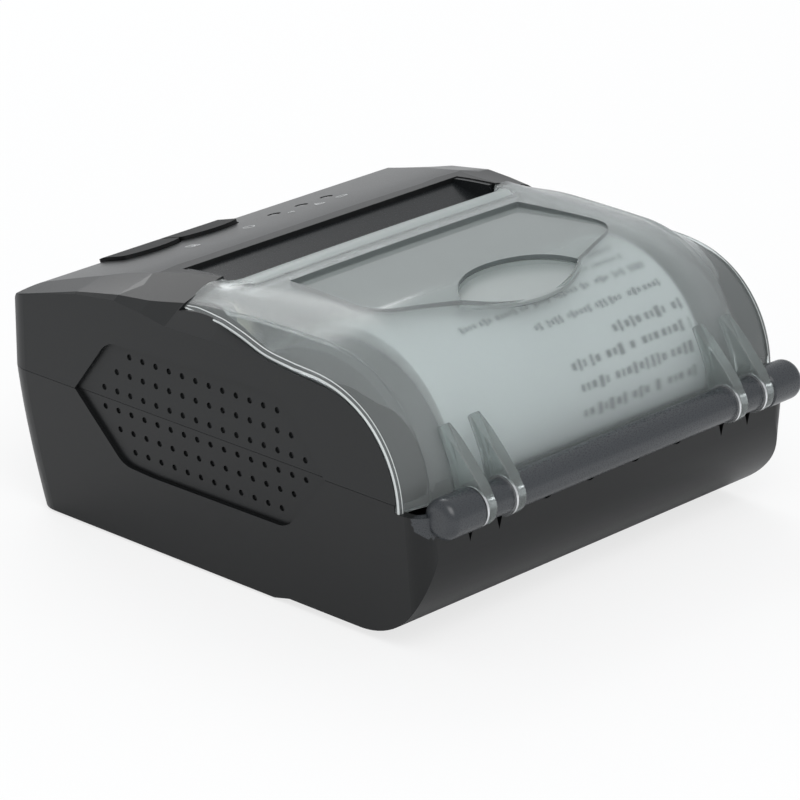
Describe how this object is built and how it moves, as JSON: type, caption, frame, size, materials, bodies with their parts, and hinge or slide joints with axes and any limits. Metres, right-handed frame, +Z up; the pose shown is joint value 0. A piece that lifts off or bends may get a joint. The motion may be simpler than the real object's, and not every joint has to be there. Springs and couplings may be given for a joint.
{
  "type": "thermal receipt printer",
  "caption": "Pocket thermal receipt printer: black two-part case, smoky hinged cover over a paper roll, print mechanism, sloping button panel and sliding battery door.",
  "frame": {"origin": "on the table, at the middle of the box that holds the closed printer", "axes": "+X along the cover's hinge, +Y towards the hinge, -Y towards the buttons, +Z up"},
  "size_m": [0.119, 0.1323, 0.0633],
  "materials": {
    "case_black": "fine matt texture",
    "button_black": "satin",
    "bezel_gloss": "polished, slightly smoky",
    "blade_steel": "brushed",
    "guide_clear": "clear",
    "board_green": "solder mask",
    "switch_metal": "plain",
    "lamp_white": "clear dome",
    "cover_smoke": "smoky translucent, finely frosted outside the window",
    "pin_steel": "ground",
    "inner_black": "plain",
    "gear_ivory": "plain",
    "platen_rubber": "matt",
    "pinion_brass": "machined",
    "motor_can": "plated",
    "screw_steel": "zinc plated",
    "frame_steel": "galvanised",
    "head_ceramic": "glazed ceramic",
    "head_aluminium": "plain",
    "spring_steel": "drawn wire",
    "cable_amber": "film",
    "connector_white": "plain",
    "cradle_grey": "plain",
    "paper_white": "coated paper",
    "core_brown": "cardboard",
    "chip_black": "plain",
    "battery_grey": "film wrapped",
    "contact_brass": "plated",
    "foot_rubber": "matt"
  },
  "bodies": {
    "printer_body": {"lower_case": "case_black", "upper_case": "case_black", "exit_bezel": "bezel_gloss", "tear_blade": "blade_steel", "light_guides": "guide_clear", "button_board": "board_green", "button_switches": "switch_metal", "status_lamps": "lamp_white", "hinge_pins": "pin_steel", "idler_pin": "pin_steel", "stepper_motor": "motor_can", "motor_screw": "screw_steel", "mech_frame": "frame_steel", "frame_screws": "screw_steel", "head_pin": "pin_steel", "head_springs": "spring_steel", "head_cable": "cable_amber", "head_connector": "connector_white", "paper_sensor": "inner_black", "paper_cradle": "cradle_grey", "paper_web": "paper_white", "main_board": "board_green", "board_chips": "chip_black", "radio_module": "switch_metal", "buzzer": "chip_black", "board_screws": "screw_steel", "usb_socket": "switch_metal", "power_jack": "inner_black", "battery_pack": "battery_grey", "battery_contacts": "contact_brass", "case_screws": "screw_steel", "rubber_feet": "foot_rubber"},
    "paper_cover": {"cover": "cover_smoke", "platen_holder": "inner_black", "platen_bushes": "gear_ivory"},
    "platen": {"platen_rubber": "platen_rubber", "platen_shaft": "pin_steel", "platen_gear": "gear_ivory"},
    "idler": {"idler_gear": "gear_ivory"},
    "motor_rotor": {"motor_shaft": "pin_steel", "motor_pinion": "pinion_brass"},
    "head": {"print_head": "head_ceramic", "head_plate": "head_aluminium"},
    "roll": {"paper_roll": "paper_white", "roll_core": "core_brown"},
    "feed_key": {"feed_button": "button_black"},
    "power_key": {"power_button": "button_black"},
    "battery_hatch": {"battery_door": "case_black"}
  },
  "joints": [
    {"name": "cover_hinge", "type": "hinge", "parent": "printer_body", "child": "paper_cover", "pos_m": [0, 0.06166, 0.0317], "axis": [-1, 0, 0], "range_deg": [0, 95]},
    {"name": "platen_spin", "type": "hinge", "parent": "paper_cover", "child": "platen", "pos_m": [0, -0.0075, 0.0511], "axis": [1, 0, 0], "continuous": true},
    {"name": "idler_spin", "type": "hinge", "parent": "printer_body", "child": "idler", "pos_m": [0, -0.01904, 0.04308], "axis": [1, 0, 0], "continuous": true},
    {"name": "motor_spin", "type": "hinge", "parent": "printer_body", "child": "motor_rotor", "pos_m": [0, -0.02909, 0.03735], "axis": [1, 0, 0], "continuous": true},
    {"name": "roll_spin", "type": "hinge", "parent": "printer_body", "child": "roll", "pos_m": [0, 0.0244, 0.0322], "axis": [1, 0, 0], "continuous": true},
    {"name": "head_tilt", "type": "hinge", "parent": "printer_body", "child": "head", "pos_m": [0, -0.0152, 0.0384], "axis": [1, 0, 0], "range_deg": [0, 1.5], "stiffness_Nm_per_rad": 5},
    {"name": "feed_press", "type": "slide", "parent": "printer_body", "child": "feed_key", "axis": [0, 0.454, -0.891], "range_m": [0, 0.0008], "stiffness_N_per_m": 400},
    {"name": "power_press", "type": "slide", "parent": "printer_body", "child": "power_key", "axis": [0, 0.454, -0.891], "range_m": [0, 0.0008], "stiffness_N_per_m": 400},
    {"name": "door_slide", "type": "slide", "parent": "printer_body", "child": "battery_hatch", "axis": [0, -1, 0], "range_m": [0, 0.045]}
  ],
  "couplings": [
    {"joint": "idler_spin", "follows": "platen_spin", "ratio": -0.75},
    {"joint": "motor_spin", "follows": "platen_spin", "ratio": 1.7143}
  ]
}
